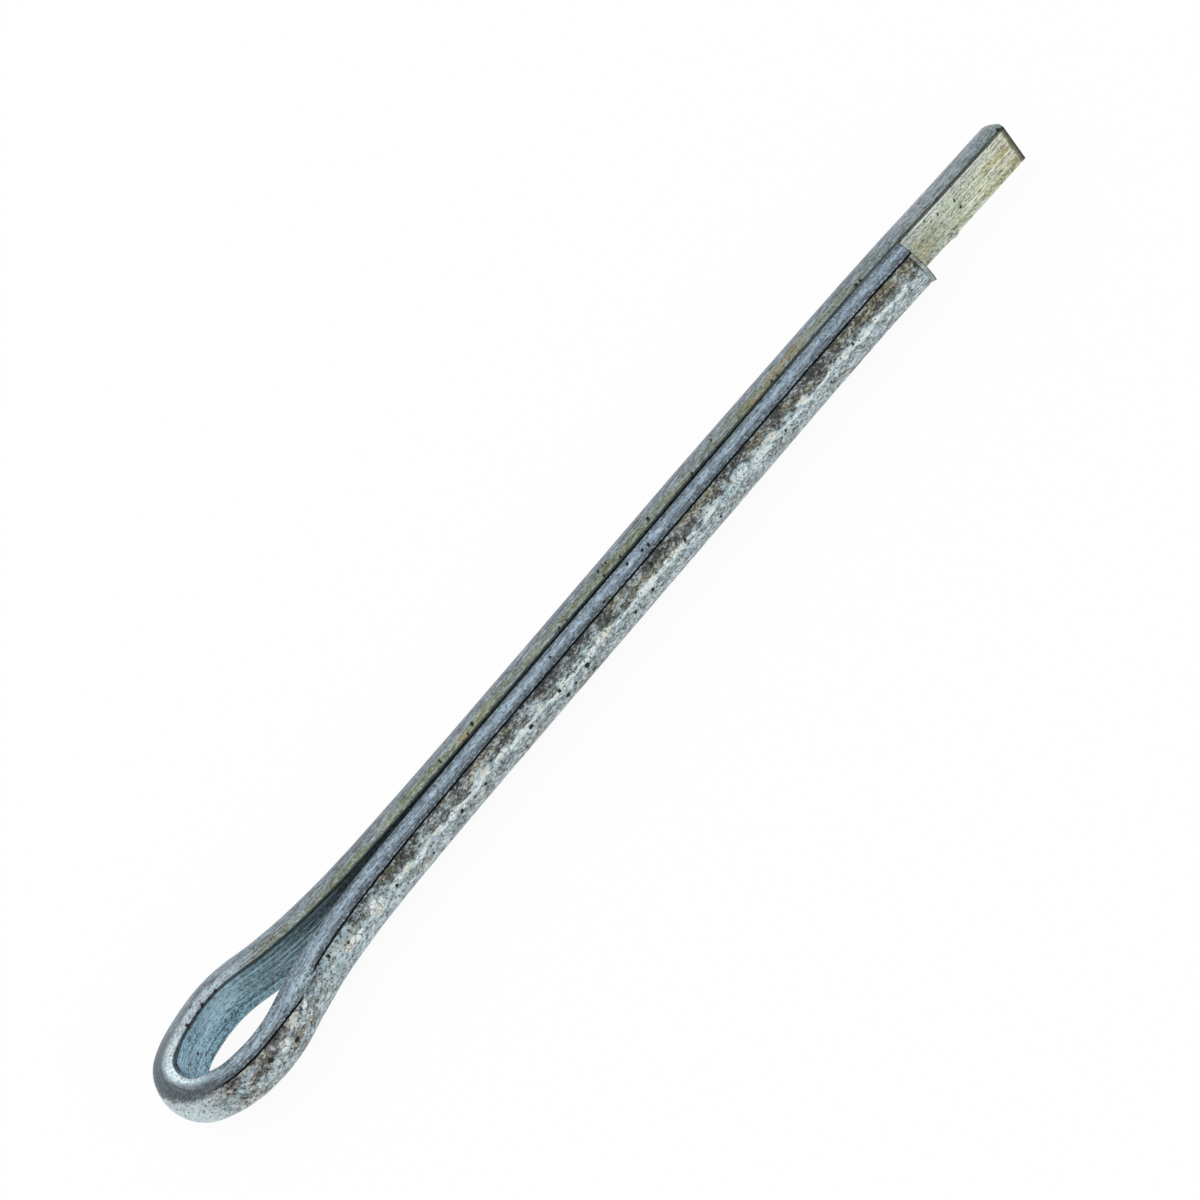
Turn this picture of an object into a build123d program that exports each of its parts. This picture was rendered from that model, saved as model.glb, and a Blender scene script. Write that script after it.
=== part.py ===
# Cotter pin (split pin), nominal size 5 x 56: one half-round steel wire, folded on itself into an eye,
# a neck and two legs whose flats face each other, so that the two legs together make a round shank.
# The pin lies flat. The origin is on the shank's axis, at the seat under the eye.
# +X runs along the shank to the tips, +Y to the long leg and +Z across the eye.
from build123d import *
from math import acos, asin, degrees, sqrt
import os

# Shank
seat_length = 56.0  # from the seat under the eye to the end of the short leg
long_leg_extra = 10.0  # how far the long leg runs on past the short one
shank_diameter = 4.5  # over both legs
split_gap = 0.12  # free space between the two flats
hole_clearance = 0.5  # how much wider the hole is in which the neck comes to rest

# Section of the wire: a flat, two smooth rolled sides, and a crown that each side's crease parts from it
crease_angle = 30.0  # from the flat round to the crease, about the shank's axis
crease_width = 0.14
crease_depth = 0.09
crown_recess = 0.03  # how far the crown lies inside the sides
flat_edge_round = 0.12

# Inside face of the eye, from the shank to the loop's end
eye_opening = 4.10
neck_radius = 38.0
shoulder_radius = 9.0
cheek_radius = 8.2
nose_radius = 1.2

# End of the long leg, sheared off at the back
bevel_run = 0.9
bevel_rise = 1.1

half_gap = split_gap / 2
shank_radius = shank_diameter / 2
crown_radius = shank_radius - crown_recess
short_end = seat_length
long_end = seat_length + long_leg_extra

# The neck's back rises from the shank to the edge of its hole, which is at X = 0.
neck_back_radius = neck_radius + half_gap - shank_radius
neck_rise = hole_clearance / 2
neck_end = sqrt(neck_back_radius**2 - (neck_back_radius - neck_rise) ** 2)

# Turn of each bend, so that the arcs meet tangent and the eye is as wide as its opening.
neck_centre = half_gap + neck_radius
shoulder_centre = eye_opening / 2 - shoulder_radius
neck_turn = degrees(acos((neck_centre - shoulder_centre) / (neck_radius + shoulder_radius)))
cheek_turn = degrees(acos((cheek_radius - eye_opening / 2) / (cheek_radius - nose_radius)))
nose_turn = 180 - 2 * cheek_turn

bends = [
    (neck_radius, -neck_turn),
    (shoulder_radius, neck_turn),
    (cheek_radius, cheek_turn),
    (nose_radius, nose_turn),
    (cheek_radius, cheek_turn),
    (shoulder_radius, neck_turn),
    (neck_radius, -neck_turn),
]

# Line of the wire's flat, from the long leg's end round the eye to the short leg's end
with BuildLine() as fold:
    bend = Line((long_end, half_gap), (neck_end, half_gap))
    for radius, turn in bends:
        bend = JernArc(bend @ 1, bend % 1, radius, turn)
    Line(bend @ 1, (short_end, -half_gap))

# Section of the long leg, drawn about the shank's axis with the crown out at +x and the sides at +y and -y
flat_angle = degrees(asin(half_gap / shank_radius))
half_crease = degrees(crease_width / 2 / shank_radius)
crease_place = 90 - crease_angle
side_start = crease_place + half_crease
crown_end = crease_place - half_crease

with BuildSketch(Plane((long_end, 0, 0), x_dir=(0, 1, 0), z_dir=(-1, 0, 0))) as wire_section:
    with BuildLine():
        crown = CenterArc((0, 0), crown_radius, -crown_end, 2 * crown_end)
        side = CenterArc((0, 0), shank_radius, side_start, 90 - flat_angle - side_start)
        root = PolarLine((0, 0), shank_radius - crease_depth, crease_place, mode=Mode.PRIVATE) @ 1
        crease = Polyline(crown @ 1, root, side @ 0)
        mirror(objects=[side, crease], about=Plane.XZ)
        Line(side @ 1, (half_gap, -(side @ 1).Y))
    make_face()
    fillet(wire_section.vertices().group_by(Axis.X)[0], flat_edge_round)

with BuildPart() as pin:
    sweep(sections=wire_section.sketch, path=fold.line)
    tip_back = Plane(
        (long_end, shank_radius - bevel_rise, 0), x_dir=(0, 0, 1), z_dir=(bevel_rise, bevel_run, 0)
    )
    split(bisect_by=tip_back, keep=Keep.BOTTOM)
pin.part.label = "pin"

os.makedirs("parts", exist_ok=True)
export_step(pin.part, "parts/pin.step")

overall = pin.part.bounding_box()
print("eye", round(-overall.min.X, 2), "mm beyond the seat,", round(overall.size.Y, 2), "mm wide")
print("length over all", round(overall.size.X, 2), "mm, thickness", round(overall.size.Z, 3), "mm")
print("neck ends", round(neck_end, 3), "mm past the seat")
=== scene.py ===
import math

import bpy
import numpy as np
from mathutils import Matrix, Vector, noise


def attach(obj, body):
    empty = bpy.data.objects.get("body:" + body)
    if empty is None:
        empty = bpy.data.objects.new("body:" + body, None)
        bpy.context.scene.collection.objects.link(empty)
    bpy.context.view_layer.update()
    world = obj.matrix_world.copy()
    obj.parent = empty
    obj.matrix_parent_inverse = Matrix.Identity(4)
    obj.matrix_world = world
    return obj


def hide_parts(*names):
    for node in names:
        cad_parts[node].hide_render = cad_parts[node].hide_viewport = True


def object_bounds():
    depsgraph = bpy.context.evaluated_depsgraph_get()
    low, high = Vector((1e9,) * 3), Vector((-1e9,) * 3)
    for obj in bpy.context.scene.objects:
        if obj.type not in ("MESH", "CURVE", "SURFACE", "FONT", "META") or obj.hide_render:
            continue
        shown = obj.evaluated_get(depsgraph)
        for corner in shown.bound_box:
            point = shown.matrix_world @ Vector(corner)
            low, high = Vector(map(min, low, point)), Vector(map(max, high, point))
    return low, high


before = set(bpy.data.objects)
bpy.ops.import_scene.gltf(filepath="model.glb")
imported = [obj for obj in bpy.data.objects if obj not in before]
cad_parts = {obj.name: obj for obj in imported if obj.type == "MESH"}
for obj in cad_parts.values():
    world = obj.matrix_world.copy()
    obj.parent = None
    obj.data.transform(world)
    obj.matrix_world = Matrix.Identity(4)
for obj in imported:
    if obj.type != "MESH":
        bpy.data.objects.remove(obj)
cad_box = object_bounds()

# Camera: a long lens that looks down on the lying pin from the near leg's side, with the pin
# running from the lower left to the upper right of a square picture.
mm = 0.001
look_at = Vector((27.0, 0.0, 0.0)) * mm
side_turn = math.radians(4.5)
tilt = math.radians(31.0)
slant = math.radians(49.4)
distance = 474.0 * mm
focal_length = 223.0
picture_shift = Vector((-0.86, -0.15)) * mm

toward_camera = Vector((
    -math.sin(side_turn),
    -math.cos(side_turn) * math.sin(tilt),
    math.cos(side_turn) * math.cos(tilt),
))
shank_across = toward_camera.cross(Vector((1, 0, 0))).normalized()
shank_seen = shank_across.cross(toward_camera)
right = math.cos(slant) * shank_seen - math.sin(slant) * shank_across
up = math.sin(slant) * shank_seen + math.cos(slant) * shank_across
lens = bpy.data.cameras.new("camera")
lens.sensor_width = 36
lens.lens = focal_length
lens.clip_start = 0.01
camera = bpy.data.objects.new("camera", lens)
bpy.context.scene.collection.objects.link(camera)
camera.matrix_world = Matrix((right, up, toward_camera)).transposed().to_4x4()
camera.location = (
    look_at + toward_camera * distance + right * picture_shift.x + up * picture_shift.y
)
bpy.context.scene.camera = camera

# Wire of the pin: half-round steel wire, rolled from round wire between a flat roll and a shaped
# one. Its section has a flat, two smooth rolled sides, and a crown that a crease parts from each
# side. Here it still lies straight, along X, from the long leg's tip to the short leg's end, with
# its crown to +Y. Its sizes are in mm, and angles in the section are in degrees from the flat.
half_gap = 0.06
shank_radius = 2.25
crown_radius = 2.22
flat_edge_round = 0.12
crease_angle = 30.0
crease_depth = 0.09
crease_reach = 1.5  # to each side, in degrees
wire_length = 151.744
nose_place = 80.87  # from the long leg's end

edge_centre = Vector((
    half_gap + flat_edge_round,
    math.sqrt((shank_radius - flat_edge_round) ** 2 - (half_gap + flat_edge_round) ** 2),
))
side_start = math.degrees(math.asin(edge_centre.x / (shank_radius - flat_edge_round)))
flat_steps, edge_steps = 6, 3
half_section = []
for step in range(1, flat_steps + 1):
    half_section.append((half_gap, edge_centre.y * step / flat_steps, 0.0))
for step in range(1, edge_steps + 1):
    turn = math.radians(-90 + (90 - side_start) * step / edge_steps)
    half_section.append((
        edge_centre.x + flat_edge_round * math.sin(turn),
        edge_centre.y + flat_edge_round * math.cos(turn),
        side_start * step / edge_steps,
    ))
section_angles = [8, 12, 16, 20, 24, 27, 28.6, 29.4, 30, 30.6, 31.4, 33, 36, 39.5]
crown_start, crown_pitch, crown_steps = 43.1, 3.6, 13
section_angles += [crown_start + crown_pitch * step for step in range(crown_steps)]
for angle in section_angles:
    from_crease = abs(angle - crease_angle)
    radius = shank_radius if angle < crease_angle else crown_radius
    if from_crease < crease_reach:
        radius -= crease_depth * (1 - from_crease / crease_reach)
    turn = math.radians(angle)
    half_section.append((radius * math.sin(turn), radius * math.cos(turn), angle))
section = [(half_gap, 0.0, 0.0)] + half_section + [(crown_radius, 0.0, 90.0)]
section += [(y, -z, 180.0 - angle) for y, z, angle in reversed(half_section)]

bpy.ops.object.select_all(action="DESELECT")
bpy.ops.mesh.primitive_circle_add(vertices=len(section), radius=shank_radius * mm)
wire = bpy.context.object
wire.name = "wire"
for point, (y, z, angle) in zip(wire.data.vertices, section):
    point.co = Vector((0, y, z)) * mm
bpy.ops.object.mode_set(mode="EDIT")
bpy.ops.mesh.select_all(action="SELECT")
bpy.ops.mesh.extrude_region_move(
    TRANSFORM_OT_translate={"value": (wire_length * mm, 0, 0)}
)
bpy.ops.object.mode_set(mode="OBJECT")


def pick(mesh, wanted):
    """Selects just the edges of the mesh that wanted() says yes to, by their ends."""
    for part in (mesh.vertices, mesh.edges, mesh.polygons):
        part.foreach_set("select", [False] * len(part))
    corner = [v.co for v in mesh.vertices]
    for edge in mesh.edges:
        if wanted([corner[i] for i in edge.vertices]):
            edge.select = True
            for i in edge.vertices:
                mesh.vertices[i].select = True


# Two rounds of cuts part the wire into 34 x 35 short lengths, and each end gets its face.
hair = 0.001 * mm
for cuts in (33, 34):
    pick(wire.data, lambda ends: abs(ends[0].x - ends[1].x) > hair)
    bpy.context.tool_settings.mesh_select_mode = (False, True, False)
    bpy.ops.object.mode_set(mode="EDIT")
    bpy.ops.mesh.subdivide(number_cuts=cuts)
    bpy.ops.object.mode_set(mode="OBJECT")
for end in (0.0, wire_length * mm):
    pick(wire.data, lambda ends: all(abs(p.x - end) < hair for p in ends))
    bpy.ops.object.mode_set(mode="EDIT")
    bpy.ops.mesh.edge_face_add()
    bpy.ops.object.mode_set(mode="OBJECT")

# Marks on the straight wire, in mm, which stay with it through the fold: how far along from the
# nose, how far out from the flat and across, and the angle round from the upper edge of the flat.
count = len(wire.data.vertices)
place = np.empty(count * 3)
wire.data.vertices.foreach_get("co", place)
place = place.reshape(count, 3) / mm
ring = np.array(section)
nearest = np.empty(count, int)
batch = 20000
for start in range(0, count, batch):
    part = place[start : start + batch, None, 1:]
    nearest[start : start + batch] = np.argmin(((part - ring[None, :, :2]) ** 2).sum(2), 1)
around = ring[nearest, 2]
along = place[:, 0] - nose_place
upper = around <= 90
low_around = np.where(upper, around, 180 - around)
on_flat = place[:, 1] < half_gap + hair / mm


def ease(value, low, high):
    """0 below low, 1 above high, and smooth between."""
    part = np.clip((value - low) / (high - low), 0, 1)
    return part * part * (3 - 2 * part)


def waves(stretch, seed):
    """Soft unevenness from -1 to 1 over the straight wire, with a stretch for each direction."""
    field = place * np.array(stretch)
    return np.array([noise.noise(Vector((x + seed, y, z))) for x, y, z in field])


# The crease wanders: it is close to the flat on the short leg, moves out round the nose and stays
# out on the long leg. It is filled where the eye's shoulder was pinched, and faint at the nose.
# Its route is its angle from the flat, and its strength a share of the full cut, by mm along.
crease_route = [
    (-81, 63), (-4, 63), (-2.2, 68), (-0.9, 72), (-0.3, 65), (0.2, 50), (0.7, 41), (1.3, 36),
    (2, 33.5), (3, 32), (5.4, 31), (6.5, 32), (7.4, 35), (8.3, 40), (9.1, 44), (9.7, 42),
    (10.6, 37), (12, 35), (14, 34), (17, 33), (22, 31.5), (30, 30), (71, 30),
]
crease_strengths = [
    (-81, 0.8), (-5, 0.8), (-1.5, 0.1), (1, 0.1), (2.4, 0.7), (3.4, 1.3), (8.8, 1.4),
    (9.4, 0), (10.7, 0), (11.4, 1.0), (71, 1.1),
]
crease_cut = 0.12
crown_undercut = 0.05
filled_rise = 0.02
crease_now = np.interp(along, *zip(*crease_route))
crease_strength = np.interp(along, *zip(*crease_strengths))
angle_now = np.where(
    low_around < crease_angle,
    low_around * crease_now / crease_angle,
    crease_now + (low_around - crease_angle) * (90 - crease_now) / (90 - crease_angle),
)
ragged = 1 + 0.5 * waves((1.3, 0, 0), seed=7.0)
groove = np.clip(1 - np.abs(low_around - crease_angle) / crease_reach, 0, 1) ** 0.7
past_crease = low_around > crease_angle
under = np.where(past_crease, np.exp(-(((low_around - crease_angle) / 9) ** 2)), 0)
filled = 1 - ease(crease_strength, 0, 0.5)
radius_now = np.where(past_crease, crown_radius, shank_radius)
radius_now = radius_now - crease_cut * groove * crease_strength * ragged
radius_now = radius_now - crown_undercut * under * np.minimum(crease_strength, 1)
radius_now += filled_rise * filled * past_crease

# The former pressed a facet on the rolled side, inside and outside the far half of the eye.
inner_press, outer_press = 0.12, 0.07
inner_facet = ease(along, -13, -8) * (1 - ease(along, 0.5, 3.5))
radius_now -= inner_press * inner_facet * np.clip(1 - angle_now / 26, 0, 1)
outer_facet = ease(along, -6, -3) * (1 - ease(along, 0.5, 3))
radius_now -= outer_press * outer_facet * ease(angle_now, 24, 36) * (1 - ease(angle_now, 44, 60))

# The crown is crusted, in a coarse and a fine grain, and the rolled sides have faint roll marks.
coarse_crust, fine_crust, roll_mark = 0.014, 0.008, 0.006
crown_weight = ease(low_around, 31, 36)
radius_now -= crown_weight * coarse_crust * (1 + waves((0.9, 1.6, 1.6), seed=3.0))
radius_now -= crown_weight * fine_crust * (1 + waves((4.0, 4.5, 4.5), seed=5.0))
radius_now -= roll_mark * (1 + waves((0.3, 3.0, 3.0), seed=9.0)) * (1 - crown_weight)

# Pits in the plating, listed one by one: along in mm, round in degrees, and radius in mm. Those on
# the flat are all of one size and are placed along and across, in mm.
pits = [
    (25.2, 74, 0.13), (27.5, 76, 0.12), (32.1, 70, 0.15), (35.0, 66, 0.12), (35.2, 89, 0.17),
    (37.4, 76, 0.18), (37.6, 100, 0.15), (42.0, 81, 0.12), (43.8, 78, 0.13), (5.2, 55, 0.14),
    (6.9, 72, 0.16), (43.9, 11, 0.10), (45.2, 16, 0.12), (45.7, 18, 0.10), (36.1, 84, 0.10),
    (18.9, 68, 0.10), (22.0, 88, 0.10), (31.0, 98, 0.10), (47.5, 60, 0.10), (50.2, 88, 0.11),
    (57.0, 72, 0.10), (61.3, 80, 0.09), (64.0, 60, 0.10), (12.4, 44, 0.13), (13.9, 60, 0.11),
    (-24.2, 8, 0.09), (-26.7, 17, 0.08), (-28.6, 8, 0.08), (-36.7, 8, 0.08), (10.4, 116, 0.12),
    (-38.0, 12, 0.11), (-38.7, 12, 0.09), (-67.0, 12, 0.13), (-67.4, 12, 0.11), (-51.0, 10, 0.09),
    (-3.4, 8, 0.14), (-5.0, 7, 0.15), (-5.6, 6, 0.14), (-6.2, 7, 0.14), (-4.4, 6, 0.13),
    (-17.8, 30, 0.09), (-2.0, 22, 0.10), (-33.0, 96, 0.14), (-44.0, 84, 0.12), (-56.0, 104, 0.13),
    (-12.0, 110, 0.15), (8.0, 118, 0.12), (29.0, 128, 0.14), (52.0, 122, 0.12), (-22.0, 130, 0.12),
    (-40.7, 21, 0.09), (-41.1, 22, 0.09), (-41.3, 14, 0.08), (-40.6, 13, 0.08), (-42.4, 24, 0.10),
    (-42.9, 23, 0.10), (-43.1, 24, 0.08), (-42.4, 10, 0.08), (-44.0, 10, 0.10), (-46.8, 20, 0.08),
    (-47.0, 16, 0.09), (-49.6, 19, 0.08), (-50.5, 30, 0.09), (-53.5, 24, 0.08), (-55.8, 19, 0.09),
    (-58.8, 10, 0.10), (-59.3, 8, 0.10), (-21.3, 14, 0.08), (-24.7, 12, 0.08), (-28.6, 13, 0.09),
    (-29.1, 11, 0.09), (-29.8, 18, 0.10), (-36.9, 14, 0.08), (-38.1, 14, 0.08), (-39.2, 21, 0.10),
    (-80.5, 8, 0.13), (44.9, 42, 0.13), (41.1, 24, 0.09), (36.2, 15, 0.10), (17.9, 78, 0.08),
    (21.0, 82, 0.09),
]
flat_pits = [
    (-73.4, 1.14), (-74.0, 1.0), (-74.6, 0.8), (-75.4, 0.77), (-75.5, -0.35), (-75.8, 1.3),
    (-6.4, -0.8), (-4.6, -1.2), (-8.8, -1.3), (-2.4, -0.4), (-7.7, -0.1), (-3.4, 0.9),
]
pit_depth = 0.07
pit_floor, pit_rim = 0.6, 1.7  # in radii
flat_pit_floor, flat_pit_rim = 0.05, 0.16
far_off = 9
pitted = np.zeros(count)
true_angle = np.where(upper, angle_now, 180 - angle_now)
for pit_along, pit_round, pit_radius in pits:
    off = np.hypot(along - pit_along, (true_angle - pit_round) * math.pi / 180 * shank_radius)
    off = np.where(on_flat, far_off, off)
    pitted = np.maximum(pitted, 1 - ease(off, pit_radius * pit_floor, pit_radius * pit_rim))
for pit_along, pit_across in flat_pits:
    off = np.where(on_flat, np.hypot(along - pit_along, place[:, 2] - pit_across), far_off)
    pitted = np.maximum(pitted, 1 - ease(off, flat_pit_floor, flat_pit_rim))
radius_now -= pit_depth * pitted

# Short leg's end: cropped square. The rolled side's end corner is rounded, and the crop left a low
# burr round the crown, with a small lip on its lower half and a fine groove beside it.
corner_reach, corner_drop = 0.35, 0.13
burr_rise, burr_reach = 0.05, 0.16
lip_rise, lip_reach, lip_angle = 0.10, 0.3, 116
groove_drop, groove_from_crop = 0.05, 0.34
from_crop = wire_length - nose_place - along
corner = ease(corner_reach - from_crop, 0, corner_reach) ** 2
radius_now -= corner_drop * corner * (low_around < 28)
on_crown = ease(low_around, 33, 45)
inward = np.clip(from_crop, 0, None)
burr = np.exp(-inward / burr_reach) * on_crown
radius_now += burr_rise * burr * (1 + 0.6 * waves((0, 2.5, 2.5), seed=21.0))
lip = np.exp(-(((true_angle - lip_angle) / 20) ** 2))
radius_now += lip_rise * np.exp(-inward / lip_reach) * lip
radius_now -= groove_drop * np.exp(-(((from_crop - groove_from_crop) / 0.1) ** 2)) * on_crown

# Flaking patches, where the plating has lifted into pale scales: along, round, half their length
# in mm, half their width in degrees, and how strong they are.
flakes = [
    (14.2, 68, 1.2, 10, 1.0), (17.0, 66, 0.85, 19, 1.1), (11.9, 66, 0.6, 12, 0.55),
    (19.6, 60, 0.8, 6, 0.8), (6.3, 58, 0.7, 12, 0.75), (4.6, 88, 1.3, 20, 0.5),
    (2.6, 70, 1.4, 22, 0.45), (7.4, 84, 0.9, 14, 0.45), (53.0, 56, 0.9, 12, 1.1),
    (52.0, 66, 1.1, 11, 1.0), (29.5, 60, 1.0, 7, 0.9), (39.0, 62, 1.4, 7, 0.9),
    (46.5, 61, 1.6, 6, 0.8), (69.0, 62, 0.6, 8, 0.7), (66.0, 60, 0.8, 7, 0.6),
    (-12.0, 96, 1.4, 16, 0.9), (-30.0, 102, 1.8, 13, 0.8), (-50.0, 92, 1.6, 14, 0.8),
    (-70.0, 100, 1.2, 14, 0.7), (24.0, 122, 1.4, 12, 0.6), (58.0, 120, 1.5, 11, 0.6),
    (-2.0, 100, 1.5, 22, 0.4), (9.35, 46, 0.25, 5, 0.8), (9.05, 50, 0.25, 5, 0.75),
    (8.75, 54, 0.3, 5, 0.75), (8.4, 58, 0.3, 5, 0.7), (8.0, 62, 0.4, 5, 0.7),
    (7.5, 65, 0.4, 5, 0.6),
]
flake_heart, flake_rim = 0.3, 1.5  # in half lengths and half widths
flaked = np.zeros(count)
for flake_along, flake_round, half_length, half_width, strength in flakes:
    off = np.hypot((along - flake_along) / half_length, (true_angle - flake_round) / half_width)
    flaked = np.maximum(flaked, strength * (1 - ease(off, flake_heart, flake_rim)))
flaked = np.where(on_flat, 0, flaked)

turn_now = np.radians(angle_now)
upright = np.where(upper, 1.0, -1.0)
rounded = low_around >= section_angles[0]
out_now = np.where(rounded, radius_now * np.sin(turn_now), place[:, 1])
across_now = np.where(rounded, radius_now * np.cos(turn_now) * upright, place[:, 2])

# The inside of the tightest bend is upset: the metal bulges a little into the eye. The flat's lower
# edge turns in along the far half of the eye, and near the long leg's end a nub sits on that edge.
upset_rise, edge_turn, nub_rise = 0.16, 0.2, 0.14
nub_place, nub_reach = -74.1, 0.3
upset = upset_rise * (1 - ease(np.abs(along), 0.8, 3.0)) * (1 - np.clip(out_now / 1.5, 0, 1))
out_now = out_now - upset
lower_lip = ease(-across_now, 1.0, 2.2) * ease(along, -13, -9) * (1 - ease(along, 0.6, 1.6))
out_now -= edge_turn * lower_lip * (out_now < 0.5)
nub = np.exp(-(((along - nub_place) / nub_reach) ** 2)) * ease(-across_now, 1.95, 2.2)
out_now -= nub_rise * nub * (out_now < 0.9)
straight = np.column_stack((along, out_now, across_now))
mark = wire.data.attributes.new("straight", "FLOAT_VECTOR", "POINT")
mark.data.foreach_set("vector", straight.ravel())
creased = np.clip(crease_strength, 0, 1)
marks = (("around", around), ("pitted", pitted), ("flaked", flaked), ("creased", creased))
for name, values in marks:
    mark = wire.data.attributes.new(name, "FLOAT", "POINT")
    mark.data.foreach_set("value", values)

# Fold of the pin: the wire is bent round a former into an eye, a neck and two legs with the flats
# face to face. The line of the flat is a chain of arcs, from the long leg's tip to the short leg's
# end.
long_end = 66.0
short_end = 56.0
eye_opening = 4.10
neck_radius = 38.0
shoulder_radius = 9.0
cheek_radius = 8.2
nose_radius = 1.2
hole_clearance = 0.5
neck_back = neck_radius + half_gap - shank_radius
neck_end = math.sqrt(neck_back**2 - (neck_back - hole_clearance / 2) ** 2)
neck_turn = math.acos(
    (half_gap + neck_radius - eye_opening / 2 + shoulder_radius) / (neck_radius + shoulder_radius)
)
cheek_turn = math.acos((cheek_radius - eye_opening / 2) / (cheek_radius - nose_radius))
nose_half = math.pi / 2 - cheek_turn
half_fold = [
    (neck_radius, -neck_turn),
    (shoulder_radius, neck_turn),
    (cheek_radius, cheek_turn),
    (nose_radius, nose_half),
]


def heading(turn):
    """The direction, one unit long, that lies at this turn from +X."""
    return Vector((math.cos(turn), math.sin(turn), 0))


turned = math.pi
here = Vector((neck_end, half_gap, 0))
third = (here - Vector((long_end, half_gap, 0))) / 3
knots = [(Vector((long_end, half_gap, 0)), third, third)]
reach = third
for radius, turn in half_fold + half_fold[::-1]:
    pull = 4 / 3 * math.tan(abs(turn) / 4) * radius
    knots.append((here, reach, heading(turned) * pull))
    reach = heading(turned + turn) * pull
    left = math.copysign(math.pi / 2, turn)
    here = here + heading(turned + left) * radius - heading(turned + turn + left) * radius
    turned += turn
third = (Vector((short_end, -half_gap, 0)) - here) / 3
knots.append((here, reach, third))
knots.append((Vector((short_end, -half_gap, 0)), third, third))

fold_line = bpy.data.curves.new("fold", "CURVE")
fold_line.dimensions = "2D"
fold_line.resolution_u = 160
spline = fold_line.splines.new("BEZIER")
spline.bezier_points.add(len(knots) - 1)
for knot, (at, before, after) in zip(spline.bezier_points, knots):
    knot.handle_left_type = knot.handle_right_type = "FREE"
    knot.co = at * mm
    knot.handle_left = (at - before) * mm
    knot.handle_right = (at + after) * mm
fold = bpy.data.objects.new("fold", fold_line)
bpy.context.scene.collection.objects.link(fold)
shape = np.column_stack((place[:, 0], half_gap - out_now, across_now)) * mm
wire.data.vertices.foreach_set("co", shape.ravel())
wire.data.update()
bending = wire.modifiers.new("fold", "CURVE")
bending.object = fold
bending.deform_axis = "POS_X"
bpy.context.view_layer.objects.active = wire
bpy.ops.object.modifier_apply(modifier="fold")
bpy.data.objects.remove(fold)

# What the fold and the hand left of the true line: the neck stands a little open, the nose is blunt
# and leans to the long leg's side, both tips bend to the short leg's side, the long one more, and
# the long leg is twisted. Gape and bends are in mm, by mm from the seat.
folded = np.empty(count * 3)
wire.data.vertices.foreach_get("co", folded)
folded = folded.reshape(count, 3) / mm
near_leg = along > 0
neck_gape = [
    (-5, 0), (-2.8, 0.07), (0, 0.16), (3, 0.18), (6, 0.10), (9, 0.05), (14, 0.01), (18, 0),
]
gape = np.interp(folded[:, 0], *zip(*neck_gape))
folded[:, 1] += np.where(near_leg, -gape, gape)
short_bend = [(38, 0), (46, 0.02), (52, -0.03), (56, -0.15)]
long_bend = [(36, 0), (46, -0.13), (52, -0.23), (56, -0.34), (60, -0.52), (66, -0.70)]
long_twist = math.radians(2.1)
nose_lean = 0.2
near_blunt, far_blunt = -0.14, 0.08
bend = np.where(
    near_leg,
    np.interp(folded[:, 0], *zip(*short_bend)),
    np.interp(folded[:, 0], *zip(*long_bend)),
)
folded[:, 1] += bend
twist = np.where(near_leg, 0, long_twist * ease(folded[:, 0], 25, 58))
off_line = folded[:, 1] - bend - half_gap
folded[:, 1] += folded[:, 2] * np.sin(twist) - off_line * (1 - np.cos(twist))
folded[:, 2] = folded[:, 2] * np.cos(twist) - off_line * np.sin(twist)
folded[:, 1] += nose_lean * ease(-folded[:, 0], 11, 15)
blunt = ease(np.abs(along), 0.1, 1.0) * (1 - ease(np.abs(along), 1.8, 4.6))
folded[:, 1] += np.where(near_leg, near_blunt, far_blunt) * blunt
folded[:, 0] = np.maximum(folded[:, 0], cad_box[0].x / mm)
folded[:, 2] = np.clip(folded[:, 2], cad_box[0].z / mm, cad_box[1].z / mm)
wire.data.vertices.foreach_set("co", (folded * mm).ravel())
wire.data.update()

# End of the long leg: sheared off at the back in two cuts, of which the one at the crown leans back
# more. Each is a point in mm and a direction.
tip_cuts = [((66.0, -0.15), (1.5, 0.55)), ((65.6, 0.75), (1.0, 1.1))]
bpy.context.tool_settings.mesh_select_mode = (True, False, False)
for at, facing in tip_cuts:
    bpy.ops.object.mode_set(mode="EDIT")
    bpy.ops.mesh.select_all(action="SELECT")
    bpy.ops.mesh.bisect(
        plane_co=(at[0] * mm, at[1] * mm, 0),
        plane_no=(*facing, 0),
        use_fill=True,
        clear_outer=True,
        threshold=hair,
    )
    bpy.ops.object.mode_set(mode="OBJECT")
bpy.ops.object.mode_set(mode="EDIT")
bpy.ops.mesh.select_all(action="SELECT")
bpy.ops.mesh.normals_make_consistent(inside=False)
bpy.ops.object.mode_set(mode="OBJECT")
bpy.ops.object.shade_smooth_by_angle(angle=math.radians(25))


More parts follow.
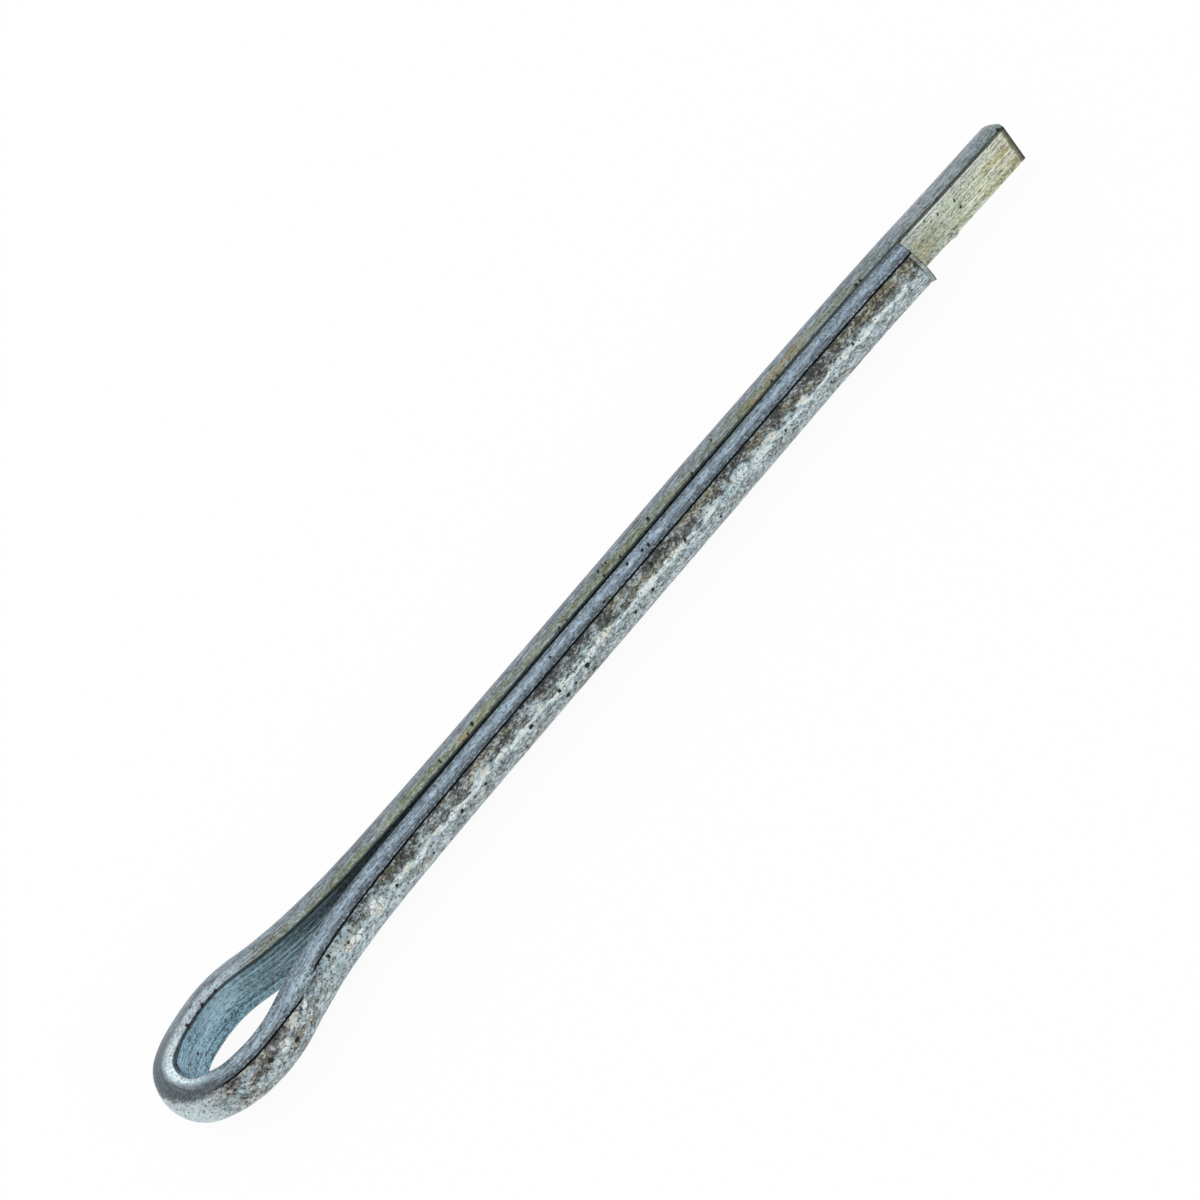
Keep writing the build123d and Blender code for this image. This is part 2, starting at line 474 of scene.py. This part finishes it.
class Shade:
    """A shader value. Arithmetic on it adds Math nodes to the material that is being made."""

    tree = None

    def __init__(self, socket):
        self.socket = socket

    @classmethod
    def node(cls, kind, settings=None, sockets=None, out=0):
        made = cls.tree.nodes.new("ShaderNode" + kind)
        for name, value in (settings or {}).items():
            if name == "stops":
                ramp = made.color_ramp
                while len(ramp.elements) < len(value):
                    ramp.elements.new(1.0)
                for stop, (at, colour) in zip(ramp.elements, value):
                    stop.position = at
                    stop.color = colour
            else:
                setattr(made, name, value)
        for name, value in (sockets or {}).items():
            if isinstance(value, Shade):
                cls.tree.links.new(value.socket, made.inputs[name])
            else:
                made.inputs[name].default_value = value
        return cls(made.outputs[out])

    def maths(self, operation, *others):
        sockets = dict(enumerate((self, *others)))
        return Shade.node("Math", {"operation": operation}, sockets)

    def __add__(self, other):
        return self.maths("ADD", other)

    def __sub__(self, other):
        return self.maths("SUBTRACT", other)

    def __rsub__(self, other):
        return Shade.node("Math", {"operation": "SUBTRACT"}, {0: other, 1: self})

    def __mul__(self, other):
        return self.maths("MULTIPLY", other)

    __radd__ = __add__
    __rmul__ = __mul__

    def step(self, low, high):
        """0 below low, 1 above high, and smooth between."""
        return Shade.node(
            "MapRange",
            {"interpolation_type": "SMOOTHSTEP"},
            {"Value": self, "From Min": low, "From Max": high},
        )


def paint(red, green, blue):
    """The colour that a paint chart gives as three numbers from 0 to 255."""
    return tuple(((c / 255 + 0.055) / 1.055) ** 2.4 for c in (red, green, blue)) + (1.0,)


def mixed(under, over, how_much):
    """The colour under, covered with the colour over as far as how_much says."""
    return Shade.node("Mix", {"data_type": "RGBA"}, {0: how_much, 6: under, 7: over}, out=2)


def noisy(stretch, scale, detail=2.0, shift=0.0, rough=0.5, followed=None):
    """Unevenness from 0 to 1. It follows the straight wire unless another place is given."""
    sockets = {0: followed or spot, 1: stretch}
    where = Shade.node("VectorMath", {"operation": "MULTIPLY"}, sockets)
    where = Shade.node("VectorMath", {"operation": "ADD"}, {0: where, 1: (shift, shift, shift)})
    sockets = {"Vector": where, "Scale": scale, "Detail": detail, "Roughness": rough}
    return Shade.node("TexNoise", {}, sockets)


def by_angle(zones):
    """The colour at each angle round the wire, from the flat's upper edge to its lower one."""
    stops = [(at / 180, tone) for at, tone in zones]
    return Shade.node("ValToRGB", {"stops": stops}, {"Fac": turn * (1 / 180)})


def between(value, low, high, soft):
    """1 from low to high and 0 outside, with soft ends."""
    return value.step(low - soft, low + soft) * (1 - value.step(high - soft, high + soft))


# Plating: zinc that has gone dull and crusted. Lengthwise is in mm from the nose, positive on the
# short leg and negative on the long one, and turn in degrees round from the flat's upper edge.
zinc = bpy.data.materials.new("zinc_plated_steel")
zinc.use_nodes = True
Shade.tree = zinc.node_tree
Shade.tree.nodes.clear()
spot = Shade.node("Attribute", {"attribute_name": "straight"}, out=1)
parts = Shade.node("SeparateXYZ", {}, {0: spot}).socket.node.outputs
lengthwise, outward, crosswise = (Shade(socket) for socket in parts)
turn = Shade.node("Attribute", {"attribute_name": "around"}, out=2)
pitting = Shade.node("Attribute", {"attribute_name": "pitted"}, out=2)
flaking = Shade.node("Attribute", {"attribute_name": "flaked"}, out=2)
creasing = Shade.node("Attribute", {"attribute_name": "creased"}, out=2)
flat = 1 - outward.step(0.075, 0.13)
solid = Shade.node("TexCoord", out=3)
solid = Shade.node("VectorMath", {"operation": "MULTIPLY"}, {0: solid, 1: (1 / mm,) * 3})
near = lengthwise.step(-0.5, 3.0)
low_turn = 90 - (turn - 90).maths("ABSOLUTE")
grain = noisy((0.6, 1, 1), 4.6, detail=6.0, rough=0.72, followed=solid)
fine = noisy((0.6, 1, 1), 8.0, shift=44.0, rough=0.65, followed=solid)
mottle = noisy((0.5, 1, 1), 1.5, detail=4.0, shift=4.0, rough=0.55, followed=solid)
drawn = noisy((0.13, 1, 1), 7.5, detail=5.0, shift=9.0, rough=0.62)
broad = noisy((0.35, 1, 1), 0.5, shift=2.0)

# The crown begins past the crease, with a sharp edge. Where the crease is filled the edge is soft
# and grainy, and at the pinched shoulder the crust reaches down over the side. On the crown the
# angle wanders, so that no colour ends in a straight line.
pinched = between(lengthwise + (mottle - 0.5) * 1.5, 9.3, 11.1, 0.3) * low_turn.step(15, 25)
soft = 1 - creasing
ragged_turn = low_turn + (grain - 0.5) * (2.5 + 16 * soft)
crown = ragged_turn.step(30.5 - 9 * soft, 33 + 12 * soft).maths("MAXIMUM", pinched)
crown = crown * (1 - flat)
wander = 44
turn = turn + crown * (mottle - 0.5) * wander

# Colours round the wire by angle, with painted light in them: painted shade on either side of the
# crease and at the flat's edge, a painted highlight along the middle of each rolled side, and a
# painted highlight stripe along the crown near 64 degrees.
crown_tones_and_painted_light = [
    (33, paint(64, 67, 66)),
    (44, paint(90, 95, 92)),
    (54, paint(116, 123, 119)),
    (64, paint(170, 182, 180)),
    (72, paint(150, 163, 165)),
    (95, paint(160, 175, 179)),
    (114, paint(162, 176, 182)),
    (128, paint(136, 147, 158)),
    (147, paint(104, 110, 110)),
    (153, paint(108, 120, 128)),
    (165, paint(146, 160, 170)),
    (180, paint(118, 130, 138)),
]
near_tones_and_painted_light = by_angle([
    (0, paint(92, 102, 110)),
    (6, paint(104, 118, 126)),
    (15, paint(162, 183, 200)),
    (21, paint(116, 131, 140)),
    (28, paint(62, 70, 76)),
] + crown_tones_and_painted_light)
far_tones_and_painted_light = by_angle([
    (0, paint(98, 106, 100)),
    (4, paint(132, 143, 140)),
    (10, paint(150, 164, 170)),
    (15, paint(118, 127, 133)),
    (24, paint(116, 125, 132)),
    (30, paint(118, 126, 134)),
] + crown_tones_and_painted_light)
colour = mixed(far_tones_and_painted_light, near_tones_and_painted_light, near)

# Yellow-olive patches on the long leg's inner strip, which faces the short leg.
olive, ochre, brown = paint(124, 128, 90), paint(168, 140, 80), paint(112, 104, 88)
inner_strip = (1 - low_turn.step(8, 15)) * (1 - near)
beside = between(lengthwise, -71.0, -11.0, 4.0)
strip_noise = noisy((0.3, 1, 1), 1.1, detail=4.0, shift=30.0)
colour = mixed(colour, olive, inner_strip * beside * strip_noise.step(0.28, 0.56) * 0.9)
rusting = between(lengthwise, -63.0, -55.5, 1.5) + between(lengthwise, -31.0, -28.5, 0.8)
blotch = noisy((0.3, 1, 1), 1.6, detail=3.0, shift=12.0)
colour = mixed(colour, ochre, rusting * inner_strip * blotch.step(0.42, 0.62) * 0.65)
grimy = inner_strip * between(lengthwise, -17.0, -2.0, 2.5) * strip_noise.step(0.42, 0.6)
colour = mixed(colour, brown, grimy * 0.6)

# Nose and eye: a pale greenish crown at the nose, and brown, cream and blue patches on the crown of
# the eye's near half and of the neck.
# On the rolled sides the pressed facets carry painted light: painted shade on the outer facet at
# the nose and a painted highlight on the inner, pale facet. A painted highlight runs along the
# eye's near rolled side.
at_nose = between(lengthwise, -2.5, 1.8, 1.0) * crown
nose_white, facet_shade_grey = paint(216, 233, 238), paint(88, 95, 99)
colour = mixed(colour, nose_white, at_nose * (0.72 + 0.6 * (mottle - 0.4)))
# Painted shade on the outer facet round the nose.
nose_band = between(lengthwise, -4.5, 3.0, 1.5) * (1 - crown) * (1 - flat)
colour = mixed(colour, facet_shade_grey, nose_band * low_turn.step(11, 16) * 0.72)
facet_highlight, shine_light = paint(198, 214, 222), paint(200, 222, 232)
cold_blue = paint(132, 162, 184)
# Painted highlight on the inner, pressed facet.
pale_facet = between(lengthwise, -8.0, 2.0, 1.2) * between(low_turn, 3.5, 10.5, 1.5) * (1 - flat)
colour = mixed(colour, facet_highlight, pale_facet * (0.3 + 0.6 * fine.step(0.40, 0.60)))
shine = between(lengthwise, 4.0, 13.0, 2.5) * between(low_turn, 15.0, 22.0, 2.5)
colour = mixed(colour, shine_light, shine * (0.25 + 0.6 * drawn.step(0.42, 0.56)))
cold = between(lengthwise, -12.0, -2.0, 2.0) * between(low_turn, 18.0, 58.0, 4.0) * (1 - crown)
colour = mixed(colour, cold_blue, cold * 0.65)
eye_brown, eye_cream, eye_blue = paint(122, 117, 108), paint(214, 211, 203), paint(182, 206, 220)
at_eye = between(lengthwise, 2.0, 8.6, 1.2) * crown
earth = noisy((0.6, 1, 1), 1.4, detail=5.0, shift=81.0, rough=0.6, followed=solid)
colour = mixed(colour, eye_brown, at_eye * earth.step(0.40, 0.52) * 0.7)
colour = mixed(colour, eye_cream, at_eye * earth.step(0.52, 0.60) * 0.85)
colour = mixed(colour, eye_blue, at_eye * mottle.step(0.50, 0.58) * 0.5)
at_neck = between(lengthwise, 9.0, 18.0, 2.0) * crown
neck_blue = paint(176, 200, 212)
colour = mixed(colour, neck_blue, at_neck * earth.step(0.38, 0.54) * 0.65)

# The flats: blue-green in the eye, made paler there by a painted pool of light, dark in the neck,
# straw-coloured on the long leg's bare tip. The ramp runs from the long leg's end to the short
# leg's side of the neck.
before_nose, ramp_length = 81.0, 96
flat_ramp = Shade.node(
    "ValToRGB",
    {"stops": [
        (0.0, paint(178, 168, 122)),
        (0.03, paint(190, 202, 168)),
        (0.12, paint(174, 194, 178)),
        (0.17, paint(182, 194, 166)),
        (0.20, paint(178, 176, 134)),
        (0.24, paint(120, 128, 116)),
        (0.60, paint(110, 124, 118)),
        (0.70, paint(84, 112, 110)),
        # Painted light: these eye stops are paler than the metal, standing for light inside the
        # eye.
        (0.77, paint(120, 160, 176)),
        (0.82, paint(146, 190, 210)),
        (0.90, paint(130, 168, 186)),
        (0.98, paint(150, 172, 180)),
    ]},
    {"Fac": (lengthwise + before_nose) * (1 / ramp_length)},
)
tip_yellow, eye_light, tip_light = paint(188, 174, 92), paint(182, 216, 232), paint(238, 243, 234)
flat_streak = noisy((0.02, 1, 1), 4.2, detail=5.0, shift=50.0, rough=0.72)
flat_spot = noisy((0.4, 1, 1), 4.5, detail=4.0, shift=61.0, rough=0.65)
at_tip = 1 - lengthwise.step(-67.0, -64.0)
tip_stain = noisy((0.3, 1, 1), 1.5, detail=4.0, shift=15.0, rough=0.6).step(0.47, 0.58)
tip_stain = tip_stain * at_tip * (1 - between(lengthwise, -77.5, -72.5, 1.0) * 0.6)
flat_colour = mixed(flat_ramp, tip_yellow, tip_stain * 0.7)
flat_light = mixed(eye_light, tip_light, at_tip)
flat_colour = mixed(flat_colour, flat_light, at_tip * crosswise.step(0.4, 1.6) * 0.45)
streak_dark, fleck_dark, spot_dark = paint(50, 74, 84), paint(44, 62, 70), paint(84, 88, 72)
streaked = (1 - flat_streak.step(0.42, 0.49)) * (0.8 - 0.4 * at_tip)
flat_colour = mixed(flat_colour, streak_dark, streaked)
flecked = (1 - fine.step(0.40, 0.46)) * (0.7 - 0.3 * at_tip)
flat_colour = mixed(flat_colour, fleck_dark, flecked)
flat_colour = mixed(flat_colour, flat_light, flat_streak.step(0.53, 0.61) * 0.85)
spotted = (1 - flat_spot.step(0.36, 0.46)) * (0.4 + 0.35 * at_tip)
flat_colour = mixed(flat_colour, spot_dark, spotted)
flat_colour = mixed(flat_colour, flat_light, flat_spot.step(0.54, 0.66) * 0.65)
flat_colour = mixed(flat_colour, flat_light, fine.step(0.54, 0.60) * 0.5)
patch_blue, rust_black = paint(184, 222, 238), paint(34, 40, 42)
bright_patch = between(lengthwise + crosswise * 0.5, -6.8, -3.6, 1.0) * crosswise.step(-1.0, 0.2)
bright_patch = bright_patch * flat_spot.step(0.33, 0.55)
flat_colour = mixed(flat_colour, patch_blue, bright_patch * 0.75)
rusty = (1 - grain.step(0.39, 0.44)) * (1 - crosswise.step(-0.6, 1.2)) * (1 - at_tip)
flat_colour = mixed(flat_colour, rust_black, rusty * 0.9)
end_olive, end_black, end_band = paint(84, 80, 50), paint(34, 33, 28), paint(182, 190, 190)
tip_end = 1 - (lengthwise + grain * 0.5).step(-80.4, -80.15)
flat_colour = mixed(flat_colour, end_olive, tip_end * 0.85)
tip_edge = 1 - (lengthwise + grain * 0.25).step(-80.66, -80.56)
flat_colour = mixed(flat_colour, end_black, tip_edge * 0.85)
colour = mixed(colour, flat_colour, flat)
tip_band = (1 - lengthwise.step(-72.0, -70.0)) * between(low_turn, 10.0, 60.0, 4.0)
colour = mixed(colour, end_band, tip_band * (1 - flat) * 0.45)

# Wear of the plating: broad unevenness, drawn lines along the rolled sides, a peppered crown, with
# a painted highlight along the middle of the rolled sides and painted shade on the crown just past
# the crease.
dull, line_dark, line_light = paint(66, 71, 74), paint(52, 58, 64), paint(186, 211, 228)
line_speck, line_glint = paint(44, 50, 54), paint(204, 222, 234)
crown_blue, crown_earth = paint(176, 198, 212), paint(142, 136, 104)
pepper_dark, pepper_light, soot = paint(40, 42, 41), paint(218, 228, 228), paint(36, 38, 39)
# Painted shade on the crown just past the crease: there the dark pepper is stronger and the blue
# and pale flecks are weaker.
under_crease_shade = crown * (1 - turn.step(48, 70))
calm = 1 - between(lengthwise, -3.2, 2.4, 1.0) * 0.75
lines = (1 - crown) * (1 - flat) * calm
# Painted highlight: the pale drawn lines are strongest along the middle of each rolled side.
side_highlight = 1 - (low_turn - 15).maths("ABSOLUTE") * (1 / 9)
side_highlight = side_highlight.maths("MAXIMUM", 0.0)
pepper = grain + (fine - 0.5) * 0.5 + (mottle - 0.5) * 0.30
colour = mixed(colour, dull, (1 - broad.step(0.32, 0.60)) * (0.24 - 0.24 * at_nose))
colour = mixed(colour, line_dark, lines * (1 - drawn.step(0.38, 0.49)) * 0.50)
colour = mixed(colour, line_light, lines * drawn.step(0.50, 0.62) * (0.22 + 0.48 * side_highlight))
colour = mixed(colour, line_speck, lines * (1 - grain.step(0.40, 0.47)) * 0.55)
colour = mixed(colour, line_glint, lines * fine.step(0.55, 0.63) * 0.35)
colour = mixed(colour, crown_blue, crown * mottle.step(0.50, 0.66) * (0.6 - 0.35 * under_crease_shade))
earthy = noisy((0.4, 1, 1), 0.9, detail=4.0, shift=70.0).step(0.50, 0.64)
colour = mixed(colour, crown_earth, crown * earthy * (0.5 - 0.3 * at_nose))
worn = crown * (1 - 0.65 * at_nose)
peppered = worn * (1 - pepper.step(0.40, 0.47)) * (0.66 + 0.2 * under_crease_shade)
colour = mixed(colour, pepper_dark, peppered)
colour = mixed(colour, pepper_light, crown * pepper.step(0.53, 0.61) * (0.78 - 0.38 * under_crease_shade))
colour = mixed(colour, soot, (1 - fine.step(0.34, 0.43)) * (0.30 + 0.25 * crown))

# Pale scales of lifted zinc along the crown, with light blue round them and cracks through them.
# The largest, near the short leg's end, is a blister: bluer, with a dark rim above it.
halo_blue, blister_blue = paint(168, 200, 214), paint(172, 202, 208)
scale_white, scale_cream = paint(236, 243, 242), paint(232, 227, 206)
rim_dark, crack_dark = paint(44, 44, 42), paint(46, 48, 48)
# Along the crown of the short leg, near 63 degrees, the scales also run as a stripe, partly real
# pale scales and partly a painted highlight.
scales_and_highlight_stripe = 1 - (turn - 63).maths("ABSOLUTE") * (1 / 13)
scales_and_highlight_stripe = scales_and_highlight_stripe.maths("MAXIMUM", 0.0) * between(lengthwise, 15.0, 70.0, 2.0) * 0.84
scale = noisy((0.5, 1, 1), 2.8, detail=6.0, shift=21.0, rough=0.62)
lifted = flaking.maths("MAXIMUM", scales_and_highlight_stripe) + (scale - 0.5) * 1.7
wobble = noisy((1, 1, 1), 4.0, detail=4.0, shift=33.0, rough=0.7)
cell_place = Shade.node("VectorMath", {"operation": "ADD"}, {0: spot, 1: wobble * 0.9})
cracks = Shade.node(
    "TexVoronoi", {"feature": "DISTANCE_TO_EDGE"}, {"Vector": cell_place, "Scale": 1.7}
)
crack = 1 - cracks.step(0.01, 0.06)
halo = lifted.step(0.34, 0.54)
cream = lifted.step(0.56, 0.66) * (1 - crack * 0.4)
colour = mixed(colour, halo_blue, halo * crown * 0.6)
cream_tone = mixed(scale_white, scale_cream, mottle.step(0.46, 0.62))
blister = between(lengthwise, 50.7, 54.4, 0.3)
cream_tone = mixed(cream_tone, blister_blue, blister * mottle.step(0.3, 0.6) * 0.8)
colour = mixed(colour, cream_tone, cream * crown * (0.35 + 0.9 * fine))
crack_here = crack * crown * flaking.step(0.1, 0.5) * (1 - blister * 0.2)
rim = between(flaking, 0.12, 0.42, 0.1) * blister * (1 - turn.step(50, 62)) * crown
colour = mixed(colour, rim_dark, rim * 0.7)
colour = mixed(colour, crack_dark, crack_here * 0.5)

# Painted shade: a dark line in the crease, a dark line along the sharp edge of the flat, a dark
# line in the groove beside the burr of the short leg's cropped end, and darkening over that end.
# The burr is lighter.
crease_shade_black, edge_shade_black = paint(24, 26, 28), paint(26, 32, 32)
crop_grey, groove_shade_black, end_shade_grey = paint(146, 152, 150), paint(44, 46, 46), paint(66, 66, 64)
# Painted shade in the crease.
crease = (1 - (ragged_turn - 30.2).maths("ABSOLUTE").step(0.9, 2.6)) * creasing
colour = mixed(colour, crease_shade_black, crease * 0.92)
# Painted shade along the flat's sharp edge.
flat_edge = crosswise + (grain - 0.5) * 0.12
flat_edge = flat_edge.step(1.98, 2.08) * (1 - outward.step(0.12, 0.26))
colour = mixed(colour, edge_shade_black, flat_edge * (1 - lengthwise.step(-0.5, 1.5)) * 0.85)
cropped = lengthwise + (grain - 0.5) * 0.25
colour = mixed(colour, crop_grey, cropped.step(70.56, 70.62) * crown * 0.5)
# Painted shade in the groove beside the burr.
crop_line = between(cropped, 70.46, 70.58, 0.05) * (0.25 + 0.6 * (1 - low_turn.step(60, 80)))
colour = mixed(colour, groove_shade_black, crop_line * crown)
# Painted shade over the cropped end.
colour = mixed(colour, end_shade_grey, cropped.step(70.76, 70.84) * (1 - flat) * 0.65)

# Pits and specks of rust show black. The specks are in about half of small cells.
pit_black = paint(34, 35, 34)
cells_per_mm = 3.0
cell = Shade.node("TexVoronoi", {}, {"Vector": solid, "Scale": cells_per_mm})
chosen = Shade.node("TexVoronoi", {}, {"Vector": solid, "Scale": cells_per_mm}, out=1)
chosen = Shade.node("SeparateColor", {}, {0: chosen})
speck = (1 - cell.step(0.14, 0.24)) * chosen.step(0.5, 0.55) * (0.35 + 0.65 * crown)
hole = pitting.step(0.25, 0.65).maths("MAXIMUM", speck * 0.8)
colour = mixed(colour, pit_black, hole)

# The finest relief, too small for the mesh, and the dullness of the crust.
relief = grain * crown * 0.9 + drawn * (1 - crown) * 0.5 + flat_streak * flat * 0.7
relief = relief + cream * crown * 0.8 - crack_here * 1.0 - speck * 1.2
bump_height = 0.05 * mm
bump = Shade.node("Bump", {}, {"Strength": 0.75, "Distance": bump_height, "Height": relief})
pale = cream * crown
surface = Shade.node(
    "BsdfPrincipled",
    {},
    {
        "Base Color": colour,
        "Metallic": 0.75 - 0.3 * crown - 0.35 * pale,
        "Roughness": 0.40 + 0.14 * crown + 0.15 * pale + 0.2 * hole,
        "Normal": bump,
    },
)
output = Shade.tree.nodes.new("ShaderNodeOutputMaterial")
Shade.tree.links.new(surface.socket, output.inputs["Surface"])
wire.data.materials.clear()
wire.data.materials.append(zinc)
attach(wire, "root")
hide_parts("pin")

# Floor: a plain pale table top that the pin lies on. The camera sees it close to white, and the
# pin's own shadow stays on it.
under_pin = 0.01 * mm
glow_share = 0.93
bpy.ops.object.select_all(action="DESELECT")
bpy.ops.mesh.primitive_plane_add(size=1.2, location=(0.027, 0, cad_box[0].z - under_pin))
floor = bpy.context.object
floor.name = "floor"
table_top = bpy.data.materials.new("table_top")
table_top.use_nodes = True
Shade.tree = table_top.node_tree
Shade.tree.nodes.clear()
path = Shade.tree.nodes.new("ShaderNodeLightPath")
seen = Shade(path.outputs["Is Camera Ray"]).maths("MAXIMUM", Shade(path.outputs["Is Glossy Ray"]))
seen = seen.maths("MAXIMUM", Shade(path.outputs["Is Transmission Ray"]))
board = Shade.node("BsdfDiffuse", {}, {"Color": (0.9, 0.9, 0.9, 1)})
glow = Shade.node("Emission", {}, {"Color": (1, 1, 1, 1), "Strength": 1.0})
top = Shade.node("MixShader", {}, {0: seen * glow_share, 1: board, 2: glow})
output = Shade.tree.nodes.new("ShaderNodeOutputMaterial")
Shade.tree.links.new(top.socket, output.inputs["Surface"])
floor.data.materials.append(table_top)

# Light: a plain white room, with one broad lamp over the far side and a weaker near one.
room = bpy.data.worlds.new("room")
room.use_nodes = True
room.node_tree.nodes["Background"].inputs["Color"].default_value = (1, 1, 1, 1)
room.node_tree.nodes["Background"].inputs["Strength"].default_value = 0.75
bpy.context.scene.world = room


def lamp(name, place, power, size):
    """An area lamp that looks at the pin's middle."""
    light = bpy.data.lights.new(name, "AREA")
    light.energy = power
    light.size = size
    hung = bpy.data.objects.new(name, light)
    bpy.context.scene.collection.objects.link(hung)
    hung.location = place
    hung.rotation_euler = (look_at - hung.location).to_track_quat("-Z", "Y").to_euler()


lamp("broad_lamp", Vector((-0.15, 0.35, 0.5)), 1.2, 0.4)
lamp("near_lamp", Vector((0.25, -0.5, 0.35)), 0.8, 0.3)

bpy.context.scene.view_settings.view_transform = "Standard"
